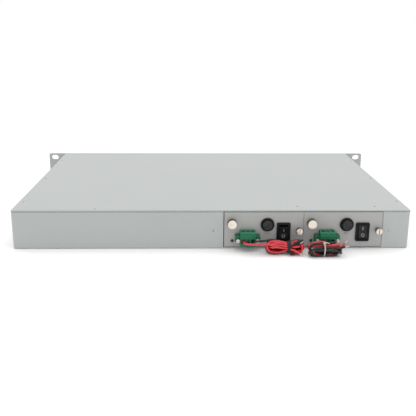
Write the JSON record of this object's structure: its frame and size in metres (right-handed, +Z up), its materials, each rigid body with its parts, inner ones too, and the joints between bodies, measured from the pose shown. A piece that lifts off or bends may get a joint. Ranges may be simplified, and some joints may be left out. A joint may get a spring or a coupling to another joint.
{
  "type": "rackmount ups",
  "caption": "Rackmount power unit in grey sheet metal, with plug-in rear modules that have a terminal plug, fuse, rocker switch, pull knob and captive screw, and tied loose leads.",
  "frame": {"origin": "centre of the chassis's underside, midway between its side walls and between its rear wall and the front plate's back", "axes": "+X to the right when facing the rear wall, +Y from the rear wall to the front plate, +Z up"},
  "size_m": [0.4826, 0.3456, 0.0437],
  "materials": {
    "chassis_paint": "fine-textured light grey powder coat",
    "faceplate_paint": "satin light grey paint",
    "zinc_sheet": "zinc-plated steel sheet",
    "nickel": "satin nickel plate",
    "terminal_green": "moulded polyamide",
    "black_plastic": "moulded, faint grain",
    "dark_lens": "unlit green lamp lens",
    "clear_lens": "clear light pipe",
    "fuse_glass": "glass tube with nickel ends",
    "board_green": "solder-masked fibreglass board",
    "socket_cream": "moulded connector housing",
    "ferrite": "sintered ferrite and tape",
    "capacitor_sleeve": "shrink sleeve",
    "aluminium_bare": "extruded, bare",
    "battery_wrap": "shrink wrap over round cells",
    "red_insulation": "glossy soft wire insulation",
    "black_insulation": "glossy soft wire insulation"
  },
  "bodies": {
    "root": {"chassis_tray": "chassis_paint", "top_cover": "chassis_paint", "front_panel": "chassis_paint", "rear_top_rail": "zinc_sheet", "left_guide_rail": "zinc_sheet", "bay_divider": "zinc_sheet", "right_guide_rail": "zinc_sheet", "backplane_board": "board_green", "control_board": "board_green", "charger_heatsink": "aluminium_bare", "charger_inductor": "ferrite", "bus_capacitor": "capacitor_sleeve", "battery_pack_rear": "battery_wrap", "battery_pack_front": "battery_wrap", "battery_bracket": "zinc_sheet", "battery_harness": "red_insulation", "status_light_bar": "clear_lens", "service_jack": "black_plastic", "backplane_socket_a": "socket_cream", "backplane_socket_b": "socket_cream"},
    "module_a": {"module_tray_a": "faceplate_paint", "converter_board_a": "board_green", "edge_plug_a": "socket_cream", "transformer_a": "ferrite", "input_capacitor_a": "capacitor_sleeve", "heatsink_a": "aluminium_bare", "terminal_header_a": "terminal_green", "fuse_holder_a": "black_plastic", "switch_housing_a": "black_plastic", "status_lamp_a": "dark_lens", "pull_knob_a": "nickel"},
    "lead_plug_a": {"terminal_plug_a": "terminal_green", "red_lead_a": "red_insulation", "black_lead_a": "black_insulation", "lead_hank_a": "red_insulation"},
    "rocker_a": {"switch_rocker_a": "black_plastic"},
    "fuse_carrier_a": {"fuse_link_a": "fuse_glass"},
    "fuse_cap_a": {"fuse_cap_a": "black_plastic"},
    "screw_ring_a": {"captive_ring_a": "zinc_sheet"},
    "captive_screw_a": {"captive_screw_a": "nickel"},
    "module_b": {"module_tray_b": "faceplate_paint", "converter_board_b": "board_green", "edge_plug_b": "socket_cream", "transformer_b": "ferrite", "input_capacitor_b": "capacitor_sleeve", "heatsink_b": "aluminium_bare", "terminal_header_b": "terminal_green", "fuse_holder_b": "black_plastic", "switch_housing_b": "black_plastic", "status_lamp_b": "dark_lens", "pull_knob_b": "nickel"},
    "lead_plug_b": {"terminal_plug_b": "terminal_green", "red_lead_b": "red_insulation", "black_lead_b": "black_insulation", "lead_hank_b": "red_insulation"},
    "rocker_b": {"switch_rocker_b": "black_plastic"},
    "fuse_carrier_b": {"fuse_link_b": "fuse_glass"},
    "fuse_cap_b": {"fuse_cap_b": "black_plastic"},
    "screw_ring_b": {"captive_ring_b": "zinc_sheet"},
    "captive_screw_b": {"captive_screw_b": "nickel"}
  },
  "joints": [
    {"name": "module_a_slide", "type": "slide", "parent": "root", "child": "module_a", "axis": [0, -1, 0], "range_m": [0, 0.15]},
    {"name": "plug_a_pull", "type": "slide", "parent": "module_a", "child": "lead_plug_a", "axis": [0, -1, 0], "range_m": [0, 0.012]},
    {"name": "rocker_a_tilt", "type": "hinge", "parent": "module_a", "child": "rocker_a", "pos_m": [0.1647, -0.154, 0.0192], "axis": [1, 0, 0], "range_deg": [0, 20]},
    {"name": "fuse_a_pull", "type": "slide", "parent": "module_a", "child": "fuse_carrier_a", "axis": [0, -1, 0], "range_m": [0, 0.035]},
    {"name": "fuse_cap_a_turn", "type": "hinge", "parent": "fuse_carrier_a", "child": "fuse_cap_a", "pos_m": [0.1471, -0.159, 0.0276], "axis": [0, -1, 0], "range_deg": [0, 60]},
    {"name": "captive_screw_a_travel", "type": "slide", "parent": "module_a", "child": "screw_ring_a", "axis": [0, -1, 0], "range_m": [0, 0.0045]},
    {"name": "captive_screw_a_turn", "type": "hinge", "parent": "screw_ring_a", "child": "captive_screw_a", "pos_m": [0.1815, -0.16, 0.0215], "axis": [0, -1, 0], "range_deg": [0, 3240]},
    {"name": "module_b_slide", "type": "slide", "parent": "root", "child": "module_b", "axis": [0, -1, 0], "range_m": [0, 0.15]},
    {"name": "plug_b_pull", "type": "slide", "parent": "module_b", "child": "lead_plug_b", "axis": [0, -1, 0], "range_m": [0, 0.012]},
    {"name": "rocker_b_tilt", "type": "hinge", "parent": "module_b", "child": "rocker_b", "pos_m": [0.0781, -0.154, 0.0192], "axis": [1, 0, 0], "range_deg": [-20, 0]},
    {"name": "fuse_b_pull", "type": "slide", "parent": "module_b", "child": "fuse_carrier_b", "axis": [0, -1, 0], "range_m": [0, 0.035]},
    {"name": "fuse_cap_b_turn", "type": "hinge", "parent": "fuse_carrier_b", "child": "fuse_cap_b", "pos_m": [0.0605, -0.159, 0.0276], "axis": [0, -1, 0], "range_deg": [0, 60]},
    {"name": "captive_screw_b_travel", "type": "slide", "parent": "module_b", "child": "screw_ring_b", "axis": [0, -1, 0], "range_m": [0, 0.0045]},
    {"name": "captive_screw_b_turn", "type": "hinge", "parent": "screw_ring_b", "child": "captive_screw_b", "pos_m": [0.0949, -0.16, 0.0215], "axis": [0, -1, 0], "range_deg": [0, 3240]}
  ],
  "couplings": [
    {"joint": "captive_screw_a_turn", "follows": "captive_screw_a_travel", "rad_per_m": 12566},
    {"joint": "captive_screw_b_turn", "follows": "captive_screw_b_travel", "rad_per_m": 12566}
  ]
}
